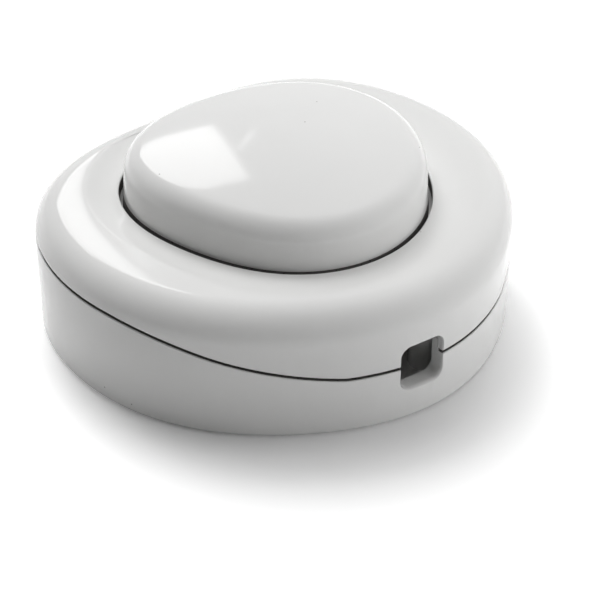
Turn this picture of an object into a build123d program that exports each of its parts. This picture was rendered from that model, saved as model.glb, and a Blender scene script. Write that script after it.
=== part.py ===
from build123d import *
import os
from math import cos, hypot, pi, radians, sin, sqrt

# Foot-operated cord switch for a floor lamp. Lengths are millimetres and angles are degrees.
# +X is the housing's axis of symmetry, towards its front, and +Z is up.
# The lamp cord runs from the rear opening to the front one on a line turned a little from +X.
# The origin lies on the floor, in the middle of the housing's length and width.

# Outlines. Each is a circle whose radius swells two, three or more times on its way round.
# A turn says at which angle from +X the swell of that count peaks.
body_radius = 33.0
body_oval = -1.54
body_trine = 1.22
body_square = -0.35
body_fifth = 0.34
button_ring = 12.1
button_radius = body_radius - button_ring
button_oval = 0.44
button_oval_turn = 54.0
button_trine = 0.98
button_trine_turn = -12.6
button_square = 0.22
button_square_turn = 40.0
button_behind_centre = 1.9
outline_steps = 28

# Housing, split by a seam that is low at the front and climbs a ramp to the rear.
body_height = 19.2
shoulder_round = 5.0
wall = 2.3
top_wall = 2.4
floor_wall = 2.0
base_round = 0.9
underside_recess = 0.4
standing_rim = 3.0
seam_front_height = 9.0
seam_rear_height = body_height - 4.1
seam_ramp_front = body_radius - 5.8
seam_ramp_rear = 7.0
seam_bend_round = 50.0
seam_gap = 0.35
seam_gap_depth = 0.8
tongue_inset = 1.25
tongue_height = 1.2
fit_clearance = 0.1

# Shallow dish around the button, and the gap that the button moves in.
dish_depth = 0.5
dish_width = 5.2
button_gap = 0.35

# Cord openings, one at each end of the cord's line.
cord_turn = -7.6
cord_hole_width = 6.7
cord_hole_height = 6.8
cord_hole_corner = 1.5
cord_hole_centre = 8.4
cord_hole_flare = 0.4
cord_diameter = 6.2

# Foot button.
button_rise = 5.5
button_crown = 2.4
button_wall = 1.8
button_draft = 0.4
button_edge_round = 2.6
button_flange = 1.6
button_flange_height = 1.0
press_travel = 3.5
moving_gap = 0.25

# Switch frame and lid, standing on the base floor under the middle of the button.
frame_radius = 11.0
frame_wall = 1.5
frame_floor = 1.7
frame_height = 11.2
lid_thickness = 1.5
lid_spigot = 0.8
lid_chamfer = 0.3
snap_width = 4.0
snap_thickness = 1.2
snap_hook = 0.6
snap_hook_height = 1.2
snap_angles = (40.0, 220.0)
frame_rib = 1.2
frame_rib_height = 1.2

# Rotor with ratchet teeth, driven by the legs of the plunger.
tooth_count = 8
drive_angle = 31.0
leg_angle = 10.0
leg_lead = 1.0
leg_count = 4
tooth_inner = 2.9
tooth_outer = 5.4
leg_inner = 3.2
leg_outer = 5.0
rotor_disc_radius = 6.1
rotor_disc_height = 1.6
rotor_hub_radius = 2.4
axle_radius = 1.2
axle_length = 9.6
axle_seat = 1.2
running_gap = 0.05
tooth_end_gap = 0.5
index_notch_radius = 0.8
index_spring_thickness = 0.3
index_spring_length = 4.4

# Plunger head and return spring.
stem_length = 4.6
head_radius = 7.4
head_height = 1.6
head_socket_wall = 1.5
stem_skin = 0.6
spring_wire = 0.6
spring_turns = 4.0
spring_radius = 6.3

# Contacts.
bridge_thickness = 0.4
bridge_end_gap = 0.9
bridge_arm_width = 3.0
bridge_arms = 4
bridge_first_arm = 45.0
tip_radius = 1.2
tip_height = 0.25
contact_gap = 0.3
rivet_radius = 1.3
rivet_height = 0.25
contact_offset = 5.0
strip_width = 3.6
strip_thickness = 0.6

# Terminals.
terminal_width = 6.0
terminal_height = 5.6
terminal_gap = 1.0
neutral_length = 18.0
neutral_screw_spacing = 11.0
wire_hole = 2.8
terminal_screw_radius = 1.5
terminal_head_radius = 2.1
terminal_head_height = 1.6
terminal_chamfer = 0.4
terminal_barrier = 1.2
wire_hole_lift = 0.8
slot_width = 0.7
slot_depth = 0.8

# Cord clamps.
clamp_gap = 0.4
clamp_length = 5.0
clamp_post_spacing = 12.0
clamp_saddle_width = 1.6
clamp_post_radius = 2.4
clamp_thickness = 1.7
clamp_screw_radius = 1.1
clamp_screw_length = 7.0
clamp_head_radius = 2.0
clamp_head_height = 1.3

# Housing screws, driven up from below beside the button.
screw_x = -4.0
screw_inset = 5.6
post_radius = 3.2
post_split_height = 7.0
screw_radius = 1.3
screw_length = 9.5
screw_head_radius = 2.8
screw_head_height = 2.0
screw_recess = 2.6
recess_radius = 3.4
boss_radius = 4.4
cross_length = 3.2
cross_width = 0.7
cross_depth = 1.0

# Places worked out from the sizes above.
body_shift = -(body_trine + body_fifth)
nose_x = body_radius + body_oval + body_square
tail_x = -nose_x
axis_x = -button_behind_centre
button_side_top = body_height + button_rise
button_top = button_side_top + button_crown
bridge_reach = frame_radius - frame_wall - bridge_end_gap
terminal_row = frame_radius + terminal_gap + terminal_width / 2
screw_y = body_radius - screw_inset
ceiling = body_height - top_wall
frame_base = floor_wall
frame_floor_top = frame_base + frame_floor
frame_top = frame_base + frame_height
lid_top = frame_top + lid_thickness
strip_top = frame_floor_top + strip_thickness
bridge_bottom = strip_top + rivet_height + contact_gap + tip_height
rotor_disc_bottom = bridge_bottom + bridge_thickness
teeth_base = rotor_disc_bottom + rotor_disc_height
tooth_angle = 360 / tooth_count
tooth_rise = press_travel / drive_angle
tooth_height = tooth_rise * tooth_angle
stem_bottom = teeth_base + tooth_height + press_travel + 2 * moving_gap
stem_top = stem_bottom + stem_length
head_top = stem_top + head_height
stem_radius = leg_outer
lid_hole_radius = stem_radius + moving_gap
flange_top = ceiling - moving_gap
flange_bottom = flange_top - button_flange_height
terminal_bottom = strip_top
terminal_top = terminal_bottom + terminal_height
clamp_post_top = cord_hole_centre + cord_diameter / 2 - clamp_thickness
far = 2 * body_radius
tiny = 0.02

# Swells of the two outlines, each as a count with its size and turn.
body_swells = {
    2: (body_oval, 0.0),
    3: (body_trine, 0.0),
    4: (body_square, 0.0),
    5: (body_fifth, 0.0),
}
button_swells = {
    2: (button_oval, button_oval_turn),
    3: (button_trine, button_trine_turn),
    4: (button_square, button_square_turn),
}


def radius_at(mean, swells, angle):
    return mean + sum(size * cos(count * (angle - radians(turn))) for count, (size, turn) in swells.items())


def slope_at(swells, angle):
    return -sum(count * size * sin(count * (angle - radians(turn))) for count, (size, turn) in swells.items())


# The front clamp stands just ahead of the button's flange, the rear one just behind the switch frame.
flange_nose = axis_x + radius_at(button_radius, button_swells, 0) + button_flange
front_clamp_x = flange_nose + clamp_gap + clamp_length / 2
rear_clamp_x = axis_x - frame_radius - clamp_gap - clamp_length / 2


# Face of an outline, drawn in by an inset that is the same all the way round.
def outline(mean, swells, inset, shift):
    points = []
    for step in range(outline_steps):
        angle = 2 * pi * step / outline_steps
        radius = radius_at(mean, swells, angle)
        slope = slope_at(swells, angle)
        normal_x = slope * sin(angle) + radius * cos(angle)
        normal_y = radius * sin(angle) - slope * cos(angle)
        length = hypot(normal_x, normal_y)
        x = radius * cos(angle) - inset * normal_x / length + shift
        y = radius * sin(angle) - inset * normal_y / length
        points.append((x, y))
    return make_face(Spline(*points, periodic=True))


def body_outline(inset=0.0):
    return outline(body_radius, body_swells, inset, body_shift)


def button_outline(inset=0.0):
    return outline(button_radius, button_swells, inset, axis_x)


def prism(face, bottom, top):
    return extrude(Pos(0, 0, bottom) * face, top - bottom)


def box(x0, x1, y0, y1, z0, z1):
    centre = ((x0 + x1) / 2, (y0 + y1) / 2, (z0 + z1) / 2)
    return Pos(*centre) * Box(x1 - x0, y1 - y0, z1 - z0)


def rod(x, y, bottom, top, radius):
    return Pos(x, y, (bottom + top) / 2) * Cylinder(radius, top - bottom)


# Everything below the seam, raised by a lift.
def below_seam(lift=0.0):
    front = seam_front_height + lift
    rear = seam_rear_height + lift
    corners = [
        (-far, -far),
        (far, -far),
        (far, front),
        (seam_ramp_front, front),
        (seam_ramp_rear, rear),
        (-far, rear),
    ]
    side = make_face(Polyline(*corners, close=True))
    bend = side.vertices().sort_by_distance((seam_ramp_rear, rear))[0]
    side = fillet(bend, seam_bend_round)
    return extrude(Plane.XZ * side, far, both=True)


# Turns a shape made along X onto the cord's line.
def on_cord_line(shape):
    return Rot(0, 0, cord_turn) * shape


# Tool for one cord opening: a rounded slot along X that widens as it meets the outside.
def cord_hole(end_x, heading):
    start = Plane(origin=(end_x, 0, cord_hole_centre), x_dir=(0, 1, 0), z_dir=(heading, 0, 0))
    throat = RectangleRounded(cord_hole_width, cord_hole_height, cord_hole_corner)
    wide = 2 * cord_hole_flare
    mouth_corner = cord_hole_corner + cord_hole_flare
    mouth = RectangleRounded(cord_hole_width + wide, cord_hole_height + wide, mouth_corner)
    slot = extrude(start.offset(-3 * wall) * throat, 4 * wall)
    flare = loft([start.offset(-wide) * throat, start.offset(cord_hole_flare) * mouth])
    return slot + flare


def both_cord_holes():
    return on_cord_line(cord_hole(nose_x, 1)) + on_cord_line(cord_hole(tail_x, -1))


# Slot above the rear opening, which lets the cord drop into the base before the cover closes it.
def rear_slot(side_gap):
    half = cord_hole_width / 2 - side_gap
    slot = box(tail_x - wall, tail_x + 2 * wall, -half, half, cord_hole_centre, seam_rear_height)
    return on_cord_line(slot)


def make_base_shell():
    block = prism(body_outline(), 0, body_height)
    block = fillet(block.edges().group_by(Axis.Z)[0], base_round)
    shell = block & below_seam()
    tongue = prism(body_outline(tongue_inset), floor_wall, body_height) & below_seam(tongue_height)
    gap_band = prism(body_outline(), floor_wall, body_height)
    gap_band = gap_band - prism(body_outline(seam_gap_depth), 0, body_height)
    shell = shell - (gap_band - below_seam(-seam_gap))
    shell = shell + tongue
    shell = shell - prism(body_outline(wall), floor_wall, body_height)
    shell = shell - prism(body_outline(standing_rim), 0, underside_recess)
    shell = shell + base_inside()
    for side in (1, -1):
        y = side * screw_y
        shell = shell + rod(screw_x, y, 0, post_split_height - fit_clearance, boss_radius)
        shell = shell - rod(screw_x, y, 0, screw_recess, recess_radius)
        shell = shell - rod(screw_x, y, 0, post_split_height, screw_radius + fit_clearance)
    shell = shell - both_cord_holes()
    return shell - rear_slot(0)


# Ribs, posts and seats on the floor of the base.
def base_inside():
    seat_height = frame_floor_top - fit_clearance
    seat_radius = frame_radius + fit_clearance
    inside = rod(axis_x, 0, underside_recess, floor_wall + frame_rib_height, seat_radius + frame_rib)
    inside = inside - rod(axis_x, 0, floor_wall, body_height, seat_radius)
    for clamp_x in (front_clamp_x, rear_clamp_x):
        for side in (1, -1):
            y = side * clamp_post_spacing / 2
            post = rod(clamp_x, y, underside_recess, clamp_post_top, clamp_post_radius)
            pilot_bottom = clamp_post_top - clamp_screw_length
            pilot = rod(clamp_x, y, pilot_bottom, clamp_post_top, clamp_screw_radius + fit_clearance / 2)
            inside = inside + on_cord_line(post) - on_cord_line(pilot)
        saddle_top = cord_hole_centre - cord_diameter / 2
        thick = clamp_saddle_width / 2
        reach = clamp_post_spacing / 2
        saddle = box(clamp_x - thick, clamp_x + thick, -reach, reach, underside_recess, saddle_top)
        inside = inside + on_cord_line(saddle)
    half = terminal_width / 2
    for centre in (axis_x - contact_offset, axis_x + contact_offset):
        y_edge = -terminal_row + half
        seat = box(centre - half, centre + half, -terminal_row - half, y_edge, underside_recess, seat_height)
        inside = inside + seat
    thick = terminal_barrier / 2
    row = terminal_row
    inside = inside + box(axis_x - thick, axis_x + thick, -row - half, y_edge, underside_recess, terminal_top)
    reach = neutral_length / 2
    seat = box(axis_x - reach, axis_x + reach, row - half, row + half, underside_recess, terminal_bottom)
    inside = inside + seat
    for angle in snap_angles:
        inside = inside + Pos(axis_x, 0, 0) * Rot(0, 0, angle) * snap_arm()
    return inside


# Springy arm that hooks over the rim of the switch lid.
def snap_arm():
    near = frame_radius + fit_clearance
    half = snap_width / 2
    top = lid_top + snap_hook_height
    arm = box(near, near + snap_thickness, -half, half, underside_recess, top)
    return arm + box(near - snap_hook, near, -half, half, lid_top + fit_clearance, top)


def make_top_cover():
    block = prism(body_outline(), 0, body_height)
    block = fillet(block.edges().group_by(Axis.Z)[-1], shoulder_round)
    cavity = prism(body_outline(wall), -wall, ceiling)
    cavity = fillet(cavity.edges().group_by(Axis.Z)[-1], shoulder_round - wall)
    rim_face = Pos(0, 0, body_height) * button_outline(-button_gap - dish_width)
    well_face = Pos(0, 0, body_height - dish_depth) * button_outline(-button_gap)
    shell = block - loft([well_face, rim_face])
    shell = shell - cavity - below_seam()
    groove = prism(body_outline(tongue_inset - fit_clearance), 0, body_height)
    shell = shell - (groove & below_seam(tongue_height + fit_clearance))
    shell = shell - prism(button_outline(-button_gap), ceiling - wall, body_height + wall)
    for side in (1, -1):
        y = side * screw_y
        shell = shell + rod(screw_x, y, post_split_height, ceiling + tiny, post_radius)
        pilot_top = screw_recess + screw_length + screw_radius
        shell = shell - rod(screw_x, y, post_split_height, pilot_top, screw_radius + fit_clearance / 2)
    wall_ring = prism(body_outline(), 0, seam_rear_height + tongue_height)
    wall_ring = wall_ring - prism(body_outline(wall), 0, body_height)
    shell = shell + (wall_ring & rear_slot(fit_clearance))
    return shell - both_cord_holes()


def make_foot_button():
    draft = button_draft * (button_top - flange_bottom) / (button_side_top - flange_bottom)
    skirt = loft([
        Pos(0, 0, flange_bottom) * button_outline(),
        Pos(0, 0, button_top) * button_outline(draft),
    ])
    cap = skirt & button_dome(0)
    rim = [edge for edge in cap.edges() if edge.center().Z > flange_top and edge.length > button_radius]
    cap = fillet(rim, button_edge_round)
    cap = cap + prism(button_outline(-button_flange), flange_bottom, flange_top)
    hollow = prism(button_outline(button_wall + draft), flange_bottom - wall, button_top)
    hollow = hollow & button_dome(button_wall)
    socket = rod(axis_x, 0, stem_top, button_top - button_wall / 2, head_radius + head_socket_wall)
    socket = socket - rod(axis_x, 0, 0, head_top, head_radius + fit_clearance)
    return cap - hollow + socket


# Crowned solid under the button's top surface, lowered by a drop.
def button_dome(drop):
    reach = button_radius + button_trine
    sphere_radius = (reach * reach + button_crown * button_crown) / (2 * button_crown)
    ball = Pos(axis_x, 0, button_top - sphere_radius - drop) * Sphere(sphere_radius)
    return ball & rod(axis_x, 0, 0, button_top + button_wall, far / 2)


def make_plunger():
    plunger = rod(0, 0, stem_bottom, stem_top, stem_radius)
    plunger = plunger + rod(0, 0, stem_top, head_top, head_radius)
    for leg in range(leg_count):
        plunger = plunger + Rot(0, 0, 360 * leg / leg_count) * plunger_leg()
    plunger = plunger - rod(0, 0, 0, stem_top, leg_inner - stem_skin)
    return Pos(axis_x, 0, 0) * plunger


# Leg with a slanted foot that follows the rise of a tooth.
def plunger_leg():
    top_angle = tooth_angle - leg_lead
    sections = []
    for angle in (top_angle - leg_angle, top_angle):
        foot = teeth_base + tooth_rise * angle + moving_gap
        sections.append(radial_face(angle, leg_inner, leg_outer, foot, stem_bottom + tiny))
    return loft(sections, ruled=True)


# Upright face in the plane that stands at an angle around the Z axis.
def radial_face(angle, inner, outer, bottom, top):
    across = cos(radians(angle))
    along = sin(radians(angle))
    upright = Plane(origin=(0, 0, 0), x_dir=(across, along, 0), z_dir=(along, -across, 0))
    corners = [(inner, bottom), (outer, bottom), (outer, top), (inner, top)]
    return make_face(upright * Polyline(*corners, close=True))


def rotor_tooth():
    sections = []
    for angle in (0, tooth_angle / 2, tooth_angle - tooth_end_gap):
        top = teeth_base + tooth_rise * angle + tiny
        sections.append(radial_face(angle, tooth_inner, tooth_outer, teeth_base - rotor_disc_height / 2, top))
    return loft(sections, ruled=True)


def make_rotor():
    rotor = rod(0, 0, rotor_disc_bottom, teeth_base, rotor_disc_radius)
    for tooth in range(tooth_count):
        angle = tooth_angle * tooth
        rotor = rotor + Rot(0, 0, angle) * rotor_tooth()
        notch_x = rotor_disc_radius * cos(radians(angle))
        notch_y = rotor_disc_radius * sin(radians(angle))
        rotor = rotor - rod(notch_x, notch_y, rotor_disc_bottom, teeth_base, index_notch_radius)
    rotor = rotor + rod(0, 0, frame_floor_top + fit_clearance, rotor_disc_bottom, rotor_hub_radius)
    rotor = rotor - rod(0, 0, 0, body_height, axle_radius + running_gap)
    return Pos(axis_x, 0, 0) * rotor


def make_rotor_axle():
    pin = rod(0, 0, frame_floor_top - axle_seat, frame_floor_top - axle_seat + axle_length, axle_radius)
    pin = chamfer(pin.edges().group_by(Axis.Z)[-1], axle_radius / 4)
    return Pos(axis_x, 0, 0) * pin


def make_contact_bridge():
    bridge = rod(0, 0, bridge_bottom, rotor_disc_bottom, rotor_disc_radius - 1)
    half = bridge_arm_width / 2
    for arm in range(bridge_arms):
        strip = box(0, bridge_reach, -half, half, bridge_bottom, rotor_disc_bottom)
        bridge = bridge + Rot(0, 0, bridge_first_arm + 360 * arm / bridge_arms) * strip
    bridge = bridge - rod(0, 0, 0, body_height, rotor_hub_radius + running_gap)
    return Pos(axis_x, 0, 0) * bridge


def make_bridge_tips():
    reach = hypot(contact_offset, contact_offset)
    tips = []
    for arm in range(bridge_arms):
        angle = radians(bridge_first_arm + 360 * arm / bridge_arms)
        x = axis_x + reach * cos(angle)
        y = reach * sin(angle)
        tips.append(rod(x, y, bridge_bottom - tip_height, bridge_bottom, tip_radius))
    return Compound(children=tips)


def make_return_spring():
    coil_height = stem_top - lid_top - spring_wire
    pitch = coil_height / spring_turns
    path = Helix(pitch=pitch, height=coil_height, radius=spring_radius)
    start = Plane(origin=path @ 0, z_dir=path % 0)
    coil = sweep(start * Circle(spring_wire / 2 - tiny), path=path, is_frenet=True)
    return Pos(axis_x, 0, lid_top + spring_wire / 2) * coil


def make_switch_frame():
    frame = rod(axis_x, 0, frame_base, frame_top, frame_radius)
    frame = frame - rod(axis_x, 0, frame_floor_top, frame_top, frame_radius - frame_wall)
    frame = frame - rod(axis_x, 0, frame_floor_top - axle_seat, frame_floor_top, axle_radius)
    half = strip_width / 2 + fit_clearance
    for x in (axis_x - contact_offset, axis_x + contact_offset):
        top = strip_top + fit_clearance
        frame = frame - box(x - half, x + half, -frame_radius, -contact_offset, frame_floor_top, top)
    return frame


def make_switch_lid():
    lid = rod(axis_x, 0, frame_top, lid_top, frame_radius)
    lid = lid + rod(axis_x, 0, frame_top - lid_spigot, frame_top, frame_radius - frame_wall - fit_clearance)
    lid = lid - rod(axis_x, 0, 0, lid_top, lid_hole_radius)
    return chamfer(lid.edges().group_by(Axis.Z)[-1].sort_by(SortBy.LENGTH)[-1], lid_chamfer)


# Flat spring on the frame wall that settles in the notches round the rotor.
def make_index_spring():
    thickness = index_spring_thickness
    half = index_spring_length / 2
    inner_radius = frame_radius - frame_wall
    reach = sqrt(inner_radius * inner_radius - half * half)
    tip_x = rotor_disc_radius + moving_gap
    foot = box(reach - thickness, reach, -half, half, rotor_disc_bottom, teeth_base)
    arm = box(tip_x, reach, half - thickness, half, rotor_disc_bottom, teeth_base)
    tip = box(tip_x, tip_x + thickness, 0, half, rotor_disc_bottom, teeth_base)
    return Pos(axis_x, 0, 0) * Rot(0, 0, 90) * (foot + arm + tip)


def make_line_contact(side):
    x = axis_x + side * contact_offset
    half = strip_width / 2
    back = -terminal_row - terminal_width / 2
    strip = box(x - half, x + half, back, -contact_offset + half, frame_floor_top, strip_top)
    return fillet(strip.edges().filter_by(Axis.Z), strip_thickness)


def make_contact_rivets():
    rivets = []
    for side in (-1, 1):
        x = axis_x + side * contact_offset
        rivets.append(rod(x, -contact_offset, strip_top, strip_top + rivet_height, rivet_radius))
    return Compound(children=rivets)


def terminal_block(centre_x, centre_y, length, screw_places):
    half = terminal_width / 2
    long = length / 2
    block = box(
        centre_x - long, centre_x + long, centre_y - half, centre_y + half, terminal_bottom, terminal_top
    )
    block = chamfer(block.edges().filter_by(Axis.Z), terminal_chamfer)
    hole_height = terminal_bottom + wire_hole / 2 + wire_hole_lift
    wire = Pos(centre_x, centre_y, hole_height) * Rot(0, 90, 0) * Cylinder(wire_hole / 2, 2 * length)
    block = block - wire
    for place in screw_places:
        block = block - rod(place, centre_y, hole_height, terminal_top, terminal_screw_radius + running_gap)
    return block


def make_line_terminal(side):
    x = axis_x + side * contact_offset
    near = axis_x + side * (terminal_barrier / 2 + fit_clearance)
    far_end = x + side * terminal_width / 2
    return terminal_block((near + far_end) / 2, -terminal_row, abs(far_end - near), [x])


def neutral_screw_places():
    return [axis_x - neutral_screw_spacing / 2, axis_x + neutral_screw_spacing / 2]


def make_neutral_terminal():
    return terminal_block(axis_x, terminal_row, neutral_length, neutral_screw_places())


# Slotted cheese-head screw standing on a surface, with its shank going down.
def slotted_screw(x, y, seat, shank_radius, shank_length, head_radius, head_height):
    screw = rod(x, y, seat, seat + head_height, head_radius)
    screw = fillet(screw.edges().group_by(Axis.Z)[-1], head_height / 4)
    screw = screw + rod(x, y, seat - shank_length, seat, shank_radius)
    top = seat + head_height
    slot = Box(2 * head_radius, slot_width, 2 * slot_depth)
    return screw - Pos(x, y, top) * slot


def make_terminal_screws():
    places = [(axis_x - contact_offset, -terminal_row), (axis_x + contact_offset, -terminal_row)]
    places += [(x, terminal_row) for x in neutral_screw_places()]
    shank = terminal_height / 2
    screws = []
    for x, y in places:
        screws.append(slotted_screw(
            x, y, terminal_top, terminal_screw_radius, shank, terminal_head_radius, terminal_head_height
        ))
    return Compound(children=screws)


def make_cord_clamp(clamp_x):
    half = clamp_length / 2
    reach = clamp_post_spacing / 2 + clamp_post_radius
    top = cord_hole_centre + cord_diameter / 2 + clamp_thickness
    bar = box(clamp_x - half, clamp_x + half, -reach, reach, clamp_post_top, top)
    shelf = clamp_post_top + clamp_thickness
    for side in (1, -1):
        inner = clamp_post_spacing / 2 - clamp_post_radius
        ends = sorted((side * inner, side * far))
        bar = bar - box(clamp_x - far, clamp_x + far, ends[0], ends[1], shelf, far)
        y = side * clamp_post_spacing / 2
        bar = bar - rod(clamp_x, y, clamp_post_top, top, clamp_screw_radius + fit_clearance)
    cord = Rot(0, 90, 0) * Cylinder(cord_diameter / 2, 2 * clamp_length)
    channel = Pos(clamp_x, 0, cord_hole_centre) * cord
    return on_cord_line(bar - channel)


def make_clamp_screws():
    screws = []
    for clamp_x in (front_clamp_x, rear_clamp_x):
        for side in (1, -1):
            screws.append(on_cord_line(slotted_screw(
                clamp_x,
                side * clamp_post_spacing / 2,
                clamp_post_top + clamp_thickness,
                clamp_screw_radius,
                clamp_screw_length - clamp_screw_radius,
                clamp_head_radius,
                clamp_head_height,
            )))
    return Compound(children=screws)


def make_housing_screws():
    screws = []
    for side in (1, -1):
        y = side * screw_y
        head = rod(screw_x, y, screw_recess - screw_head_height, screw_recess, screw_head_radius)
        shank = rod(screw_x, y, screw_recess, screw_recess + screw_length, screw_radius)
        bottom = screw_recess - screw_head_height
        arm = Box(cross_length, cross_width, 2 * cross_depth)
        cross = arm + Rot(0, 0, 90) * arm
        screws.append(head + shank - Pos(screw_x, y, bottom) * cross)
    return Compound(children=screws)


nodes = {
    "base_shell": make_base_shell,
    "top_cover": make_top_cover,
    "foot_button": make_foot_button,
    "plunger": make_plunger,
    "return_spring": make_return_spring,
    "rotor": make_rotor,
    "rotor_axle": make_rotor_axle,
    "contact_bridge": make_contact_bridge,
    "bridge_tips": make_bridge_tips,
    "switch_frame": make_switch_frame,
    "switch_lid": make_switch_lid,
    "index_spring": make_index_spring,
    "line_in_contact": lambda: make_line_contact(-1),
    "line_out_contact": lambda: make_line_contact(1),
    "contact_rivets": make_contact_rivets,
    "line_in_terminal": lambda: make_line_terminal(-1),
    "line_out_terminal": lambda: make_line_terminal(1),
    "neutral_terminal": make_neutral_terminal,
    "terminal_screws": make_terminal_screws,
    "front_cord_clamp": lambda: make_cord_clamp(front_clamp_x),
    "rear_cord_clamp": lambda: make_cord_clamp(rear_clamp_x),
    "clamp_screws": make_clamp_screws,
    "housing_screws": make_housing_screws,
}

os.makedirs("parts", exist_ok=True)
for name, make in nodes.items():
    export_step(make(), f"parts/{name}.step")
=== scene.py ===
from math import asin, cos, pi, radians, sin, sqrt

import bmesh
import bpy
from mathutils import Matrix, Vector


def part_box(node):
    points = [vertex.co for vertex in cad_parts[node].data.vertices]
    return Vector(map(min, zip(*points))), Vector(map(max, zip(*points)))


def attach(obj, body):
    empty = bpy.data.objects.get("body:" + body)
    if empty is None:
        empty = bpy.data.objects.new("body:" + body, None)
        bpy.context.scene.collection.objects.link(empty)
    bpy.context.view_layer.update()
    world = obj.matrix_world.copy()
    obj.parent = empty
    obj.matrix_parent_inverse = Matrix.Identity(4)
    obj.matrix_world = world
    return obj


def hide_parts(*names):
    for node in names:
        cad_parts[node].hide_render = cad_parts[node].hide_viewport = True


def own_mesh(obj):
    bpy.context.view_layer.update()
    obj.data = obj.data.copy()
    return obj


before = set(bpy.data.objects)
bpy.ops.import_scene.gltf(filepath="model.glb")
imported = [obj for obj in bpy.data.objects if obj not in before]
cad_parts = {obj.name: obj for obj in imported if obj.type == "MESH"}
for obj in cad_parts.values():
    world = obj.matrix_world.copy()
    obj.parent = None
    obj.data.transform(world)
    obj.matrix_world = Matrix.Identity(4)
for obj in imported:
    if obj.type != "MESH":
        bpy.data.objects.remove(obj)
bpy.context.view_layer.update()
mm = 0.001
quarter = 0.5 * pi
print("frame loaded:", len(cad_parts), "nodes")


# the highest and the lowest point of a CAD node, in millimetres
def topOf(node):
    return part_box(node)[1].z / mm


def bottomOf(node):
    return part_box(node)[0].z / mm


# hex sRGB to linear colour with alpha, by the sRGB curve
def hexColour(code):
    parts = [int(code[i:i + 2], 16) / 255 for i in (1, 3, 5)]
    linear = [p / 12.92 if p <= 0.04045 else ((p + 0.055) / 1.055) ** 2.4 for p in parts]
    return (*linear, 1.0)


# one shader node with its settings, and its links given as input name to output socket
def addNode(tree, kind, settings=None, links=None, **values):
    node = tree.nodes.new(kind)
    for key, value in values.items():
        setattr(node, key, value)
    for socket, value in (settings or {}).items():
        node.inputs[socket].default_value = value
    for socket, source in (links or {}).items():
        tree.links.new(source, node.inputs[socket])
    return node


def newMaterial(name):
    material = bpy.data.materials.new(name)
    material.use_nodes = True
    tree = material.node_tree
    shader = tree.nodes["Principled BSDF"]
    coordinates = addNode(tree, "ShaderNodeTexCoord").outputs["Object"]
    return material, tree, shader, coordinates


# a colour that drifts between two shades in soft clouds, given back with the clouds themselves
def addClouds(tree, place, look, second, detail):
    cloud = addNode(tree, "ShaderNodeTexNoise", {"Scale": 1 / (look["cloudSize"] * mm), "Detail": detail},
                    {"Vector": place})
    tint = addNode(tree, "ShaderNodeMix", {"A": hexColour(look["colour"]), "B": hexColour(second)},
                   {"Factor": cloud.outputs["Fac"]}, data_type="RGBA")
    return cloud.outputs["Fac"], tint.outputs["Result"]


# roughness that follows one pattern, and a bump that follows another
def addSkin(tree, shader, look, roughPattern, bumpPattern, bumpHeight):
    rough = addNode(tree, "ShaderNodeMapRange",
                    {"To Min": look["roughness"], "To Max": look["roughnessHigh"]}, {"Value": roughPattern})
    bump = addNode(tree, "ShaderNodeBump", {"Distance": bumpHeight * mm}, {"Height": bumpPattern})
    tree.links.new(rough.outputs["Result"], shader.inputs["Roughness"])
    tree.links.new(bump.outputs["Normal"], shader.inputs["Normal"])


# how many finer levels each noise pattern has
patternDetail = {"plasticClouds": 2.0, "metalClouds": 3.0, "toolMarks": 2.0}


# A moulded plastic: an even colour with soft clouds and fine specks, and a skin that waves a little.
# Its sizes are in millimetres.
def makePlastic(name, look):
    material, tree, shader, place = newMaterial(name)
    clouds, tint = addClouds(tree, place, look, look["shade"], patternDetail["plasticClouds"])
    speck = addNode(tree, "ShaderNodeTexVoronoi", {"Scale": 1 / (look["speckSpacing"] * mm)},
                    {"Vector": place})
    near = addNode(tree, "ShaderNodeMath", {1: look["speckSize"] / look["speckSpacing"]},
                   {0: speck.outputs["Distance"]}, operation="LESS_THAN")
    specked = addNode(tree, "ShaderNodeMix", {"B": hexColour(look["speck"])},
                      {"Factor": near.outputs[0], "A": tint}, data_type="RGBA")
    tree.links.new(specked.outputs["Result"], shader.inputs["Base Color"])
    wave = addNode(tree, "ShaderNodeTexNoise",
                   {"Scale": 1 / (look["waveSize"] * mm), "Detail": look["waveDetail"]}, {"Vector": place})
    addSkin(tree, shader, look, clouds, wave.outputs["Fac"], look["waveHeight"])
    shader.inputs["IOR"].default_value = look["ior"]
    return material


# A metal: its colour with clouds of tarnish, and tool marks that are longer in one direction.
# Mark sizes are in millimetres along X, Y and Z, drawn coarser than the real ones so that they show.
def makeMetal(name, look):
    material, tree, shader, place = newMaterial(name)
    tint = addClouds(tree, place, look, look["tarnish"], patternDetail["metalClouds"])[1]
    tree.links.new(tint, shader.inputs["Base Color"])
    stretch = addNode(tree, "ShaderNodeMapping", {"Scale": [1 / (size * mm) for size in look["markSize"]]},
                      {"Vector": place})
    mark = addNode(tree, "ShaderNodeTexNoise", {"Scale": 1.0, "Detail": patternDetail["toolMarks"]},
                   {"Vector": stretch.outputs["Vector"]})
    addSkin(tree, shader, look, mark.outputs["Fac"], mark.outputs["Fac"], look["markDepth"])
    shader.inputs["Metallic"].default_value = 1.0
    return material


# ABS, injection moulded in a polished tool: an even near-white with a clear gloss.
# The skin waves very slightly where it shrank over the ribs, and a few dust specks lie on it.
glossAbs = {
    "colour": "#EBEBEA",
    "shade": "#E6E6E5",
    "cloudSize": 14.0,
    "speck": "#8A8884",
    "speckSpacing": 5.0,
    "speckSize": 0.10,
    "roughness": 0.07,
    "roughnessHigh": 0.11,
    "ior": 1.54,
    "waveSize": 5.0,
    "waveDetail": 0.0,
    "waveHeight": 0.006,
}

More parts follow.
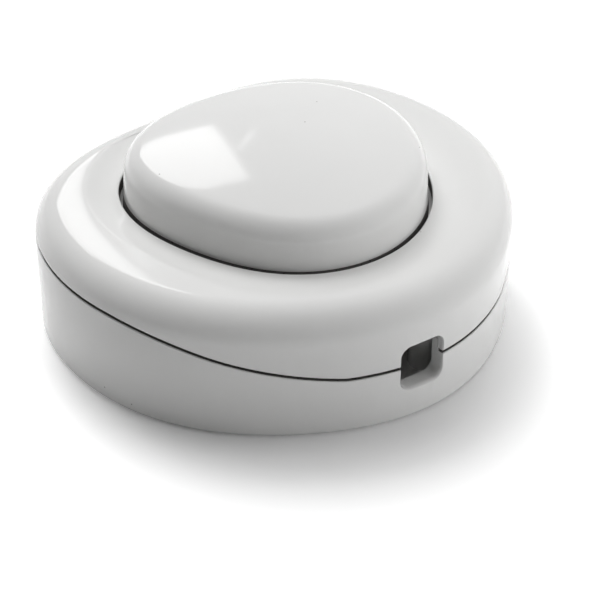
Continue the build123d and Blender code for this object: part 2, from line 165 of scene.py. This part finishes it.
# The same ABS in a dull grey that stands in for shade: painted shade in the narrow gaps and inside the
# housing, so that a gap reads as a dark line.
gapShadeAbs = {
    "colour": "#6A6865",
    "shade": "#4A4846",
    "cloudSize": 3.0,
    "speck": "#2E2D2B",
    "speckSpacing": 0.6,
    "speckSize": 0.12,
    "roughness": 0.55,
    "roughnessHigh": 0.8,
    "ior": 1.54,
    "waveSize": 0.4,
    "waveDetail": 2.0,
    "waveHeight": 0.02,
}

# Phenolic resin, compression moulded: near-black brown with darker flow clouds and a dull sheen.
phenolicResin = {
    "colour": "#2E2622",
    "shade": "#191513",
    "cloudSize": 3.0,
    "speck": "#5A4A3E",
    "speckSpacing": 0.9,
    "speckSize": 0.12,
    "roughness": 0.34,
    "roughnessHigh": 0.52,
    "ior": 1.6,
    "waveSize": 0.5,
    "waveDetail": 2.0,
    "waveHeight": 0.01,
}

# Acetal, injection moulded: slippery grey with a waxy, slightly grainy skin.
acetal = {
    "colour": "#B9BABB",
    "shade": "#A6A8AA",
    "cloudSize": 2.5,
    "speck": "#8E9092",
    "speckSpacing": 1.6,
    "speckSize": 0.08,
    "roughness": 0.30,
    "roughnessHigh": 0.42,
    "ior": 1.48,
    "waveSize": 0.4,
    "waveDetail": 2.0,
    "waveHeight": 0.005,
}

# Spring steel, drawn and tempered: grey with brownish temper clouds and fine draw lines.
springSteel = {
    "colour": "#8F9092",
    "tarnish": "#6E6A66",
    "cloudSize": 4.0,
    "markSize": (1.2, 1.2, 0.08),
    "markDepth": 0.004,
    "roughness": 0.24,
    "roughnessHigh": 0.42,
}

# Steel, turned and nickel plated: warm light grey, bright, with faint turning lines round the shank.
nickelSteel = {
    "colour": "#C9C5BC",
    "tarnish": "#AFA99E",
    "cloudSize": 2.0,
    "markSize": (2.5, 2.5, 0.10),
    "markDepth": 0.003,
    "roughness": 0.16,
    "roughnessHigh": 0.30,
}

# Phosphor bronze, rolled strip: reddish gold with darker finger tarnish and rolling lines along its length.
phosphorBronze = {
    "colour": "#C8955F",
    "tarnish": "#94653F",
    "cloudSize": 3.5,
    "markSize": (3.0, 0.12, 0.12),
    "markDepth": 0.003,
    "roughness": 0.22,
    "roughnessHigh": 0.38,
}

# Brass, drawn bar sawn to length: yellow with brown tarnish clouds and draw lines along the bar.
drawnBrass = {
    "colour": "#D2B062",
    "tarnish": "#A98743",
    "cloudSize": 3.0,
    "markSize": (3.5, 0.15, 0.15),
    "markDepth": 0.005,
    "roughness": 0.24,
    "roughnessHigh": 0.40,
}

# Silver and nickel contact alloy, pressed: soft white metal with grey sulphide tarnish and a fine grain.
contactSilver = {
    "colour": "#D9D7D0",
    "tarnish": "#A8A294",
    "cloudSize": 0.8,
    "markSize": (0.12, 0.12, 0.12),
    "markDepth": 0.003,
    "roughness": 0.26,
    "roughnessHigh": 0.44,
}

housingMaterials = (makePlastic("glossAbsMoulded", glossAbs), makePlastic("dustyAbsMoulded", gapShadeAbs))
springSteelDrawn = makeMetal("springSteelDrawn", springSteel)
print("housing materials made")


# Housing outline: a circle whose radius swells two to five times on its way round.
# Each swell is count, size and the angle where it peaks.
housing = {
    "radius": 33.0,
    "swells": [(2, -1.54, 0.0), (3, 1.22, 0.0), (4, -0.35, 0.0), (5, 0.34, 0.0)],
    "shift": -1.56,
    "segments": 360,
    "height": topOf("top_cover"),
    "shoulder": 4.6,
    "wall": 2.3,
    "topWall": 2.4,
    "floor": 2.0,
}

# X of the upright axis that the button, the rotor and the return spring share
switchAxis = -1.9

# Button outline, in the same form.
buttonOutline = {
    "radius": 20.9,
    "swells": [(2, 0.44, 54.0), (3, 0.98, -12.6), (4, 0.22, 40.0)],
    "shift": switchAxis,
}

# Seam between base and cover: a ramp from the low front to the high rear, with a tongue behind the gap.
seam = {
    "front": 9.0,
    "rampFront": 27.2,
    "rampRear": 7.0,
    "bendRound": 50.0,
    "gap": 0.46,
    "gapDepth": 0.9,
    "edgeRound": 0.16,
    "edgeSteps": 4,
    "tongueInset": 1.25,
    "tongueHeight": 1.2,
    "clearance": 0.1,
}
seam["rear"] = topOf("base_shell") - seam["tongueHeight"]


# point of an outline at an angle, drawn in by an inset along its normal
def outlinePoint(shape, angle, inset):
    radius = shape["radius"]
    slope = 0.0
    for count, size, turn in shape["swells"]:
        phase = count * (angle - radians(turn))
        radius += size * cos(phase)
        slope -= count * size * sin(phase)
    normal = Vector((slope * sin(angle) + radius * cos(angle), radius * sin(angle) - slope * cos(angle)))
    point = Vector((radius * cos(angle) + shape["shift"], radius * sin(angle)))
    return point - inset * normal.normalized()


# height of the seam at a place along X: low at the front, up a ramp, level at the rear
def seamHeight(x):
    rise = seam["rear"] - seam["front"]
    slope = rise / (seam["rampFront"] - seam["rampRear"])
    straight = seam["front"] + slope * (seam["rampFront"] - x)
    ramp = min(max(straight, seam["front"]), seam["rear"])
    # the arc that rounds the bend at the rear end of the ramp
    tangent = seam["bendRound"] * (sqrt(1 + slope * slope) - 1) / slope
    away = x - (seam["rampRear"] - tangent)
    if 0 < away < tangent + tangent / sqrt(1 + slope * slope):
        ramp = seam["rear"] - (seam["bendRound"] - sqrt(seam["bendRound"] ** 2 - away * away))
    return ramp


# A ring of a shell is a function from angle to a point in millimetres. This one is level.
def flatRing(shape, inset, height):
    return lambda angle: (*outlinePoint(shape, angle, inset), height)


# ring that follows the seam up its ramp
def seamRing(inset, offset):
    def place(angle):
        point = outlinePoint(housing, angle, inset)
        outside = outlinePoint(housing, angle, 0)
        return (*point, seamHeight(outside.x) + offset)
    return place


# Grows a shell ring by ring: each new ring is extruded from the last one and put in its place.
# The bands that end at a listed ring get the second material, a painted shade.
def growShell(rings, closed, paintedShadeBands=()):
    bm = bmesh.new()
    turn = bm.verts.layers.float.new("turn")
    bmesh.ops.create_circle(bm, cap_ends=False, segments=housing["segments"], radius=1)
    bm.verts.ensure_lookup_table()
    for vert in bm.verts:
        vert[turn] = Vector((1, 0)).angle_signed(vert.co.xy, 0)
    loop = list(bm.edges)
    firstLoop = loop
    for index, ring in enumerate(rings):
        if index:
            made = bmesh.ops.extrude_edge_only(bm, edges=loop)["geom"]
            loop = [item for item in made if isinstance(item, bmesh.types.BMEdge)]
            for face in [item for item in made if isinstance(item, bmesh.types.BMFace)]:
                face.material_index = int(index in paintedShadeBands)
        for vert in {vert for edge in loop for vert in edge.verts}:
            vert.co = Vector(ring(-vert[turn])) * mm
    if closed:
        bmesh.ops.bridge_loops(bm, edges=firstLoop + loop)
    else:
        for ends in (firstLoop, loop):
            bmesh.ops.edgeloop_fill(bm, edges=ends)
    bmesh.ops.recalc_face_normals(bm, faces=bm.faces)
    return bm


def makeObject(name, bm, materials=()):
    mesh = bpy.data.meshes.new(name)
    bm.to_mesh(mesh)
    bm.free()
    for material in materials:
        mesh.materials.append(material)
    piece = bpy.data.objects.new(name, mesh)
    bpy.context.scene.collection.objects.link(piece)
    return piece


# joins a tool to a piece or cuts it away, and keeps the result as the piece's mesh
def combine(piece, toolMesh, operation, crossing=False):
    tool = makeObject(piece.name + "_tool", toolMesh, piece.data.materials)
    modifier = piece.modifiers.new("combine", "BOOLEAN")
    modifier.object = tool
    modifier.operation = operation
    modifier.solver = "EXACT"
    modifier.use_self = crossing  # the tool's own parts run into one another
    ready = piece.evaluated_get(bpy.context.evaluated_depsgraph_get())
    result = bpy.data.meshes.new_from_object(ready)
    piece.modifiers.clear()
    old = piece.data
    piece.data = result
    result.name = piece.name
    bpy.data.meshes.remove(old)
    bpy.data.objects.remove(tool)


shading = {"sharpAngle": 32.0, "mergeDistance": 0.002}


# smooth shading with the corners sharper than an angle kept crisp
def shadeSmooth(piece):
    bm = bmesh.new()
    bm.from_mesh(piece.data)
    bmesh.ops.dissolve_degenerate(bm, dist=shading["mergeDistance"] * mm, edges=bm.edges)
    for face in bm.faces:
        face.smooth = True
    for edge in bm.edges:
        edge.smooth = len(edge.link_faces) == 2 and edge.calc_face_angle(0) < radians(shading["sharpAngle"])
    bm.to_mesh(piece.data)
    bm.free()


# angles from 0 to a quarter turn in equal steps
def quarterTurn(count):
    return [quarter * step / count for step in range(count + 1)]


# an upright rod, and a block between two corners, in millimetres
def addRod(bm, x, y, bottom, top, radius, sides=48):
    place = Matrix.Translation(Vector((x, y, (bottom + top) / 2)) * mm)
    bmesh.ops.create_cone(
        bm, cap_ends=True, segments=sides, radius1=radius * mm, radius2=radius * mm,
        depth=(top - bottom) * mm, matrix=place,
    )


def addBlock(bm, low, high):
    centre = (Vector(low) + Vector(high)) / 2 * mm
    size = (Vector(high) - Vector(low)) * mm
    bmesh.ops.create_cube(bm, size=1, matrix=Matrix.Translation(centre) @ Matrix.Diagonal((*size, 1)))


# Cord openings at both ends: a rounded square through the wall that widens at the outside.
# The cord's line is turned from X, and the cutting tools run past the wall.
cordOpening = {
    "turn": -7.6,
    "width": 6.7,
    "height": 6.8,
    "corner": 1.5,
    "cornerSteps": 8,
    "centre": 8.4,
    "flare": 0.45,
    "flareDepth": 0.8,
    "flareSteps": 4,
    "outside": 31.11,
    "reach": 4.0,
    "slotPast": 2.0,
}


# draws out the face that lies farthest along X and gives back its new corners
def extrudeEnd(bm):
    end = max(bm.faces, key=lambda face: face.calc_center_median().x)
    made = bmesh.ops.extrude_face_region(bm, geom=[end])["geom"]
    bmesh.ops.delete(bm, geom=[end], context="FACES_ONLY")
    return [item for item in made if isinstance(item, bmesh.types.BMVert)]


# tool that cuts the front opening for a heading of 1, and the rear one for -1
def openingTool(heading):
    hole = cordOpening
    bm = bmesh.new()
    bmesh.ops.create_cube(bm, size=1)
    bmesh.ops.scale(bm, vec=Vector((hole["reach"], hole["width"], hole["height"])) * mm, verts=bm.verts)
    # the four edges that run along X are rounded
    lengthways = [edge for edge in bm.edges if abs(edge.verts[0].co.x - edge.verts[1].co.x) > mm]
    bmesh.ops.bevel(
        bm, geom=lengthways, offset=hole["corner"] * mm, affect="EDGES", segments=hole["cornerSteps"],
        profile=0.5, material=-1,
    )
    start = hole["outside"] - hole["flareDepth"] - hole["reach"] / 2
    bmesh.ops.translate(bm, vec=Vector((start, 0, hole["centre"])) * mm, verts=bm.verts)
    # the outer end face is drawn out in short steps that widen it along a quarter arc
    middle = Vector((0, 0, hole["centre"] * mm))
    turns = quarterTurn(hole["flareSteps"])
    for turn, nextTurn in zip(turns, turns[1:]):
        verts = extrudeEnd(bm)
        along = hole["flareDepth"] * (sin(nextTurn) - sin(turn))
        widen = hole["flare"] * (cos(turn) - cos(nextTurn))
        wider = 1 + 2 * widen / hole["width"]
        bmesh.ops.translate(bm, vec=(along * mm, 0, 0), verts=verts)
        bmesh.ops.scale(bm, vec=(1, wider, wider), verts=verts, space=Matrix.Translation(-middle))
    bmesh.ops.translate(bm, vec=(hole["reach"] * mm, 0, 0), verts=extrudeEnd(bm))
    facing = radians(hole["turn"]) + (pi if heading < 0 else 0)
    bmesh.ops.rotate(bm, matrix=Matrix.Rotation(facing, 3, "Z"), verts=bm.verts)
    bmesh.ops.recalc_face_normals(bm, faces=bm.faces)
    return bm


# slot above the rear opening, which lets the cord drop into the base
def rearSlot(sideGap):
    hole = cordOpening
    half = hole["width"] / 2 - sideGap
    outer = hole["outside"] + hole["slotPast"]
    inner = hole["outside"] - 2 * housing["wall"]
    bm = bmesh.new()
    addBlock(bm, (-outer, -half, hole["centre"]), (-inner, half, seam["rear"] + hole["slotPast"]))
    bmesh.ops.rotate(bm, matrix=Matrix.Rotation(radians(hole["turn"]), 3, "Z"), verts=bm.verts)
    return bm


# Base shell: standing rim, rounded foot, wall up to the seam, tongue and floor.
# Posts, bosses and the frame's rib start inside the floor, and holes are cut past the surface.
base = {
    "footRound": 0.9,
    "footSteps": 6,
    "rim": 3.0,
    "recess": 0.4,
    "screwX": -4.0,
    "screwY": 27.4,
    "screwRecess": 2.6,
    "recessRadius": 3.4,
    "bossRadius": 4.4,
    "bossTop": 6.9,
    "clampPostY": 6.0,
    "clampPostRadius": 2.4,
    "frameRibRadius": 12.3,
    "frameRadius": 11.1,
    "frameRibTop": 3.2,
    "frameSides": 96,
    "overlap": 0.2,
    "cutPast": 1.0,
}


def makeBase():
    foot = base["footRound"]
    edge = seam["edgeRound"]
    low = -seam["gap"]
    rings = [flatRing(housing, base["rim"], base["recess"]), flatRing(housing, base["rim"], 0)]
    rings += [
        flatRing(housing, foot - foot * sin(turn), foot - foot * cos(turn))
        for turn in quarterTurn(base["footSteps"])
    ]
    rings += [
        seamRing(edge - edge * cos(turn), low - edge + edge * sin(turn))
        for turn in quarterTurn(seam["edgeSteps"])
    ]
    # painted shade on the seam's ledge, its step, the strip in front of the tongue and the inside of the wall
    paintedShadeBands = [len(rings) + place for place in (0, 1, 2, 5)]
    rings += [
        seamRing(seam["gapDepth"], low),
        seamRing(seam["gapDepth"], 0),
        seamRing(seam["tongueInset"], 0),
        seamRing(seam["tongueInset"], seam["tongueHeight"]),
        seamRing(housing["wall"], seam["tongueHeight"]),
        flatRing(housing, housing["wall"], housing["floor"]),
    ]
    piece = makeObject("base_moulding", growShell(rings, closed=False, paintedShadeBands=paintedShadeBands), housingMaterials)
    inside = bmesh.new()
    under = base["recess"] + base["overlap"]
    addRod(inside, switchAxis, 0, under, base["frameRibTop"], base["frameRibRadius"], base["frameSides"])
    across = Vector((-sin(radians(cordOpening["turn"])), cos(radians(cordOpening["turn"]))))
    for node in ("front_cord_clamp", "rear_cord_clamp"):
        low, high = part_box(node)
        middle = (low + high).xy / 2 / mm
        for side in (1, -1):
            post = middle + side * base["clampPostY"] * across
            addRod(inside, post.x, post.y, under, low.z / mm, base["clampPostRadius"])
    for side in (1, -1):
        addRod(inside, base["screwX"], side * base["screwY"], under, base["bossTop"], base["bossRadius"])
    combine(piece, inside, "UNION", crossing=True)
    holes = bmesh.new()
    past = base["cutPast"]
    seatTop = base["frameRibTop"] + past
    addRod(holes, switchAxis, 0, housing["floor"], seatTop, base["frameRadius"], base["frameSides"])
    for side in (1, -1):
        addRod(holes, base["screwX"], side * base["screwY"], -past, base["screwRecess"], base["recessRadius"])
    combine(piece, holes, "DIFFERENCE")
    for heading in (1, -1):
        combine(piece, openingTool(heading), "DIFFERENCE")
    combine(piece, rearSlot(0), "DIFFERENCE")
    shadeSmooth(piece)
    return piece


# Top cover: rounded shoulder, dish round the button, well for the button, and a groove for the tongue.
cover = {
    "dishDepth": 0.5,
    "dishWidth": 5.0,
    "buttonGap": 0.45,
    "wellRound": 0.28,
    "wellSteps": 5,
    "innerSteps": 8,
    "shoulderSteps": 18,
    "dishSteps": 8,
    "flapRoot": 0.5,
    "flapCover": 0.01,
}


# ring on the rounded shoulder, which starts at the seam where that is higher than the round's foot
def shoulderRing(step, inset, foot, radius, offset):
    def place(angle):
        x = outlinePoint(housing, angle, 0).x
        rise = (seamHeight(x) + offset - foot) / radius
        start = asin(min(max(rise, 0), 1))
        turn = start + (quarter - start) * step
        point = outlinePoint(housing, angle, inset + radius - radius * cos(turn))
        return (*point, foot + radius * sin(turn))
    return place


# ring at the foot of the cover's outside, which leans in where the shoulder reaches down to the seam
def coverFootRing(inset, offset):
    def place(angle):
        x = outlinePoint(housing, angle, 0).x
        height = seamHeight(x) + offset
        rise = max(height - (housing["height"] - housing["shoulder"]), 0)
        lean = housing["shoulder"] - sqrt(housing["shoulder"] ** 2 - rise * rise)
        return (*outlinePoint(housing, angle, inset + lean), height)
    return place


# the part of the cover that hangs down at the rear and closes the base's slot above the cord
def rearFlap():
    root = cover["flapRoot"]
    rootInset = seam["tongueInset"] - seam["clearance"] - root / 2
    rings = [
        flatRing(housing, 0, cordOpening["centre"]),
        coverFootRing(0, 0),
        coverFootRing(cover["flapCover"], root),
        seamRing(rootInset, root),
        seamRing(rootInset, 0),
        seamRing(housing["wall"], 0),
        flatRing(housing, housing["wall"], cordOpening["centre"]),
    ]
    ring = makeObject("rear_flap", growShell(rings, closed=True), housingMaterials)
    combine(ring, rearSlot(seam["clearance"]), "INTERSECT")
    bm = bmesh.new()
    bm.from_mesh(ring.data)
    bpy.data.objects.remove(ring)
    return bm


def makeCover():
    top = housing["height"]
    shoulder = housing["shoulder"]
    foot = top - shoulder
    ceiling = top - housing["topWall"]
    innerRound = shoulder - housing["wall"]
    edge = seam["edgeRound"]
    gap = cover["buttonGap"]
    well = cover["wellRound"]
    dishFloor = top - cover["dishDepth"]
    innerSteps = cover["innerSteps"]
    shoulderSteps = cover["shoulderSteps"]
    grooveTop = seam["tongueHeight"] + seam["clearance"]
    grooveInset = seam["tongueInset"] - seam["clearance"]
    rings = [
        shoulderRing(step / innerSteps, housing["wall"], ceiling - innerRound, innerRound, grooveTop)
        for step in range(innerSteps + 1)
    ]
    rings += [
        flatRing(buttonOutline, -gap - cover["dishWidth"], ceiling),
        flatRing(buttonOutline, -gap, ceiling),
    ]
    # painted shade on the side of the well and under the cover's edge at the seam
    paintedShadeBands = [len(rings)]
    rings += [
        flatRing(buttonOutline, -gap - well + well * cos(turn), dishFloor - well + well * sin(turn))
        for turn in quarterTurn(cover["wellSteps"])
    ]
    # the dish rises to the shoulder in a smooth S
    for step in range(1, cover["dishSteps"] + 1):
        part = step / cover["dishSteps"]
        outward = -gap - well - (cover["dishWidth"] - well) * part
        rise = cover["dishDepth"] * part * part * (3 - 2 * part)
        rings.append(flatRing(buttonOutline, outward, dishFloor + rise))
    rings += [
        shoulderRing(1 - step / shoulderSteps, 0, foot, shoulder, edge)
        for step in range(shoulderSteps + 1)
    ]
    rings += [
        coverFootRing(edge - edge * cos(turn), edge - edge * sin(turn))
        for turn in quarterTurn(seam["edgeSteps"])
    ]
    paintedShadeBands.append(len(rings))
    rings += [seamRing(grooveInset, 0), seamRing(grooveInset, grooveTop)]
    piece = makeObject("cover_moulding", growShell(rings, closed=True, paintedShadeBands=paintedShadeBands), housingMaterials)
    combine(piece, rearFlap(), "UNION")
    for heading in (1, -1):
        combine(piece, openingTool(heading), "DIFFERENCE")
    shadeSmooth(piece)
    return piece


# Foot button: crowned top, rounded edge, slightly tapered side, flange under the cover, hollow below.
button = {
    "top": topOf("foot_button"),
    "sideTop": 24.7,
    "bottom": bottomOf("foot_button"),
    "wall": 1.8,
    "taper": 0.4,
    "edgeRound": 2.7,
    "flange": 1.6,
    "flangeHeight": 1.0,
    # where the painted shade on the button's side starts below the cover's top, and the share of the taper
    # there
    "paintedShadeDepth": 0.62,
    "paintedShadeTaper": 1 / 3,
    "crownSteps": 14,
    "edgeSteps": 12,
    "hub": 0.02,
    "midway": 0.5,
    "reach": 21.88,
    "cornerWidth": 0.8,
    "cornerDrop": 0.6,
}


# height of the crown over a point, lowered by a drop
def crownHeight(point, drop):
    rise = button["top"] - button["sideTop"]
    ball = (button["reach"] ** 2 + rise * rise) / (2 * rise)
    away = (point - Vector((buttonOutline["shift"], 0))).length
    return button["top"] - drop - ball + sqrt(ball * ball - away * away)


# ring on the crown, drawn in to a share of the way from the middle to the outline
def crownRing(share, inset, drop):
    def place(angle):
        centre = Vector((buttonOutline["shift"], 0))
        point = centre + (outlinePoint(buttonOutline, angle, inset) - centre) * share
        return (*point, crownHeight(point, drop))
    return place


# ring on the rounded edge of the button
def buttonEdgeRing(turn):
    radius = button["edgeRound"]
    inset = button["taper"] + radius - radius * sin(turn)
    drop = radius - radius * cos(turn)
    return crownRing(1, inset, drop)


def makeButton():
    taper = button["taper"]
    bottom = button["bottom"]
    flangeTop = bottom + button["flangeHeight"]
    inner = button["wall"] + taper
    corner = inner + button["cornerWidth"]
    hub = button["hub"]
    steps = button["crownSteps"]
    rings = [
        crownRing(hub + (1 - hub) * step / steps, taper + button["edgeRound"], 0)
        for step in range(steps + 1)
    ]
    rings += [buttonEdgeRing(turn) for turn in quarterTurn(button["edgeSteps"])[1:]]
    paintedShadeTop = housing["height"] - button["paintedShadeDepth"]
    rings.append(flatRing(buttonOutline, taper * button["paintedShadeTaper"], paintedShadeTop))
    # painted shade on the side of the button from there down to the flange
    paintedShadeBands = [len(rings)]
    rings += [
        flatRing(buttonOutline, 0, flangeTop),
        flatRing(buttonOutline, -button["flange"], flangeTop),
        flatRing(buttonOutline, -button["flange"], bottom),
        flatRing(buttonOutline, inner, bottom),
        crownRing(1, inner, button["wall"] + button["cornerDrop"]),
    ]
    rings += [crownRing(share, corner, button["wall"]) for share in (1, button["midway"], hub)]
    piece = makeObject("button_cap", growShell(rings, closed=False, paintedShadeBands=paintedShadeBands), housingMaterials)
    shadeSmooth(piece)
    return piece


# Return spring: a coil of round wire between the lid and the plunger head, squeezed by the button.
spring = {
    "radius": 6.3,
    "wire": 0.6,
    "turns": 4,
    "seat": 0.02,
    "wireSides": 16,
    "stepsPerTurn": 60,
    "travel": 3.5,
}


def makeReturnSpring():
    low = bottomOf("return_spring") + spring["seat"]
    rise = topOf("return_spring") - spring["seat"] - low - spring["wire"]
    steps = spring["turns"] * spring["stepsPerTurn"]
    start = Vector((switchAxis + spring["radius"], 0, low + spring["wire"] / 2)) * mm
    bm = bmesh.new()
    bmesh.ops.create_circle(
        bm, cap_ends=True, segments=spring["wireSides"], radius=spring["wire"] / 2 * mm,
        matrix=Matrix.Translation(start) @ Matrix.Rotation(quarter, 4, "X"),
    )
    bmesh.ops.spin(
        bm, geom=bm.verts[:] + bm.edges[:] + bm.faces[:], cent=(switchAxis * mm, 0, 0), axis=(0, 0, 1),
        dvec=(0, 0, rise / steps * mm), angle=2 * pi * spring["turns"], steps=steps, use_merge=False,
    )
    bmesh.ops.recalc_face_normals(bm, faces=bm.faces)
    piece = makeObject("return_coil", bm, (springSteelDrawn,))
    shadeSmooth(piece)
    return piece


print("modelling the base")
baseMoulding = makeBase()
print("modelling the cover")
coverMoulding = makeCover()
print("modelling the button")
buttonCap = makeButton()

print("modelling the return spring")
returnCoil = makeReturnSpring()
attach(returnCoil, "housing")
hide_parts("return_spring")
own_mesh(returnCoil)

for piece, node, body in (
    (baseMoulding, "base_shell", "housing"),
    (coverMoulding, "top_cover", "housing"),
    (buttonCap, "foot_button", "button"),
):
    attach(piece, body)
    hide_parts(node)


# the finishes of the CAD nodes that show as they are
finishes = (
    (housingMaterials[0], ("front_cord_clamp", "rear_cord_clamp")),
    (makePlastic("phenolicMoulded", phenolicResin), ("switch_frame", "switch_lid")),
    (makePlastic("acetalMoulded", acetal), ("plunger", "rotor")),
    (springSteelDrawn, ("index_spring",)),
    (makeMetal("nickelPlatedSteel", nickelSteel),
     ("rotor_axle", "terminal_screws", "clamp_screws", "housing_screws")),
    (makeMetal("phosphorBronzeRolled", phosphorBronze),
     ("contact_bridge", "line_in_contact", "line_out_contact")),
    (makeMetal("brassDrawn", drawnBrass),
     ("line_in_terminal", "line_out_terminal", "neutral_terminal")),
    (makeMetal("contactSilverPressed", contactSilver), ("bridge_tips", "contact_rivets")),
)
for material, names in finishes:
    for name in names:
        for holder in bpy.data.objects[name].material_slots:
            holder.material = material
print("finishes are on", sum(len(names) for material, names in finishes), "CAD nodes")


# The camera stands where the photograph was taken from, in front of the housing and beside the cord's line.
# Angles are in degrees and lengths in millimetres, apart from the clip range in metres.
camera = {
    "azimuth": -41.684,
    "elevation": 35.43,
    "distance": 285.756,
    "lens": 118.209,
    "sensor": 36.0,
    "aimRight": 1.266,
    "aimUp": 0.318,
    "roll": 0.362,
    "clip": (0.01, 50.0),
}


# direction of something around the object: azimuth from the camera's own, positive to the right
def aroundCamera(turn, elevation, distance):
    azimuth = radians(camera["azimuth"] + turn)
    flat = cos(radians(elevation))
    return Vector((flat * cos(azimuth), flat * sin(azimuth), sin(radians(elevation)))) * distance * mm


def makeCamera():
    data = bpy.data.cameras.new("photo_camera")
    data.sensor_width = camera["sensor"]
    data.lens = camera["lens"]
    data.clip_start, data.clip_end = camera["clip"]
    piece = bpy.data.objects.new("photo_camera", data)
    bpy.context.scene.collection.objects.link(piece)
    place = aroundCamera(0, camera["elevation"], camera["distance"])
    level = (-place).to_track_quat("-Z", "Y")
    aim = level @ Vector((camera["aimRight"], camera["aimUp"], 0)) * mm
    look = (aim - place).to_track_quat("-Z", "Y").to_matrix().to_4x4()
    piece.matrix_world = Matrix.Translation(place) @ look @ Matrix.Rotation(radians(camera["roll"]), 4, "Z")
    bpy.context.scene.camera = piece


# Soft boxes, all at one distance: turn and elevation from the camera's side in degrees, size in millimetres,
# power in watts. Only the window and the sliver of light beside it show as reflections, as they do on the
# photographed button.
lampDistance = 900
lamps = {
    "window": {"turn": -161, "elevation": 36, "size": (285, 300), "power": 0.75, "shows": True},
    "window_sliver": {"turn": -174.5, "elevation": 33, "size": (6, 100), "power": 0.006, "shows": True,
                      "lean": -22},
    "high_back_left": {"turn": -150, "elevation": 50, "size": (450, 450), "power": 3.1},
    "low_left": {"turn": -110, "elevation": 22, "size": (450, 450), "power": 0.7},
    "front_right": {"turn": 60, "elevation": 22, "size": (450, 450), "power": 1.55},
    "low_right": {"turn": 90, "elevation": 8, "size": (450, 300), "power": 1.8},
    "overhead_back": {"turn": 180, "elevation": 72, "size": (700, 500), "power": 3.0},
    "overhead_right": {"turn": 90, "elevation": 72, "size": (500, 500), "power": 0.9},
}


def makeLamps():
    for name, lamp in lamps.items():
        data = bpy.data.lights.new(name, "AREA")
        data.shape = "RECTANGLE"
        data.size, data.size_y = (side * mm for side in lamp["size"])
        data.energy = lamp["power"]
        piece = bpy.data.objects.new(name, data)
        piece.visible_glossy = lamp.get("shows", False)
        bpy.context.scene.collection.objects.link(piece)
        place = aroundCamera(lamp["turn"], lamp["elevation"], lampDistance)
        facing = (-place).to_track_quat("-Z", "Y").to_matrix().to_4x4()
        lean = Matrix.Rotation(radians(lamp.get("lean", 0)), 4, "Z")
        piece.matrix_world = Matrix.Translation(place) @ facing @ lean


# 1 for the rays that show the background: the camera's own and those off a glossy surface
def seenRays(tree):
    path = addNode(tree, "ShaderNodeLightPath")
    seen = addNode(tree, "ShaderNodeMath", None,
                   {0: path.outputs["Is Camera Ray"], 1: path.outputs["Is Glossy Ray"]}, operation="MAXIMUM")
    return path, seen.outputs[0]


# White surround: at full strength to the camera and in reflections, and a weak light on the object.
world = {"colour": "#FFFFFF", "fill": 0.02, "seen": 1.0}


def makeWorld():
    room = bpy.data.worlds.new("white_room")
    room.use_nodes = True
    tree = room.node_tree
    tree.nodes.clear()
    path, seen = seenRays(tree)
    either = addNode(tree, "ShaderNodeMath", None, {0: seen, 1: path.outputs["Is Transmission Ray"]},
                     operation="MAXIMUM")
    colour = hexColour(world["colour"])
    soft = addNode(tree, "ShaderNodeBackground", {"Color": colour, "Strength": world["fill"]})
    white = addNode(tree, "ShaderNodeBackground", {"Color": colour, "Strength": world["seen"]})
    mix = addNode(tree, "ShaderNodeMixShader", None,
                  {0: either.outputs[0], 1: soft.outputs[0], 2: white.outputs[0]})
    addNode(tree, "ShaderNodeOutputWorld", None, {"Surface": mix.outputs[0]})
    bpy.context.scene.world = room


# Floor: matt white card with a painted glow to the camera and in reflections. It keeps the object's shadow,
# and away from it shows pure white to the camera. Its glow rises from near to far, in millimetres round a
# point in front of the object, amid the shadow, so the shadow's reach and edge are painted.
floor = {
    "colour": "#F2F2F2",
    "glow": "#FFFFFF",
    "size": 3000.0,
    "glowNear": 0.06,
    "glowFar": 0.54,
    "near": 21.8,
    "far": 44.6,
    "shadowTurn": 10,
    "shadowShift": 11.9,
}


def makeFloor():
    bm = bmesh.new()
    bmesh.ops.create_grid(bm, x_segments=1, y_segments=1, size=floor["size"] * mm / 2)
    piece = makeObject("floor_card", bm)
    material = bpy.data.materials.new("mattWhiteCard")
    material.use_nodes = True
    tree = material.node_tree
    tree.nodes.clear()
    seen = seenRays(tree)[1]
    place = addNode(tree, "ShaderNodeTexCoord").outputs["Object"]
    centre = aroundCamera(floor["shadowTurn"], 0, floor["shadowShift"])
    away = addNode(tree, "ShaderNodeVectorMath", {1: centre}, {0: place}, operation="DISTANCE")
    level = addNode(
        tree, "ShaderNodeMapRange",
        {"From Min": floor["near"] * mm, "From Max": floor["far"] * mm,
         "To Min": floor["glowNear"], "To Max": floor["glowFar"]},
        {"Value": away.outputs["Value"]}, interpolation_type="SMOOTHSTEP",
    )
    strength = addNode(tree, "ShaderNodeMath", None, {0: seen, 1: level.outputs["Result"]},
                       operation="MULTIPLY")
    card = addNode(tree, "ShaderNodeBsdfDiffuse", {"Color": hexColour(floor["colour"])})
    glow = addNode(tree, "ShaderNodeEmission", {"Color": hexColour(floor["glow"])},
                   {"Strength": strength.outputs[0]})
    both = addNode(tree, "ShaderNodeAddShader", None, {0: card.outputs[0], 1: glow.outputs[0]})
    addNode(tree, "ShaderNodeOutputMaterial", None, {"Surface": both.outputs[0]})
    piece.data.materials.append(material)


makeCamera()
makeLamps()
makeWorld()
makeFloor()
bpy.context.scene.view_settings.view_transform = "Standard"
print("camera, lamps and floor are in place")
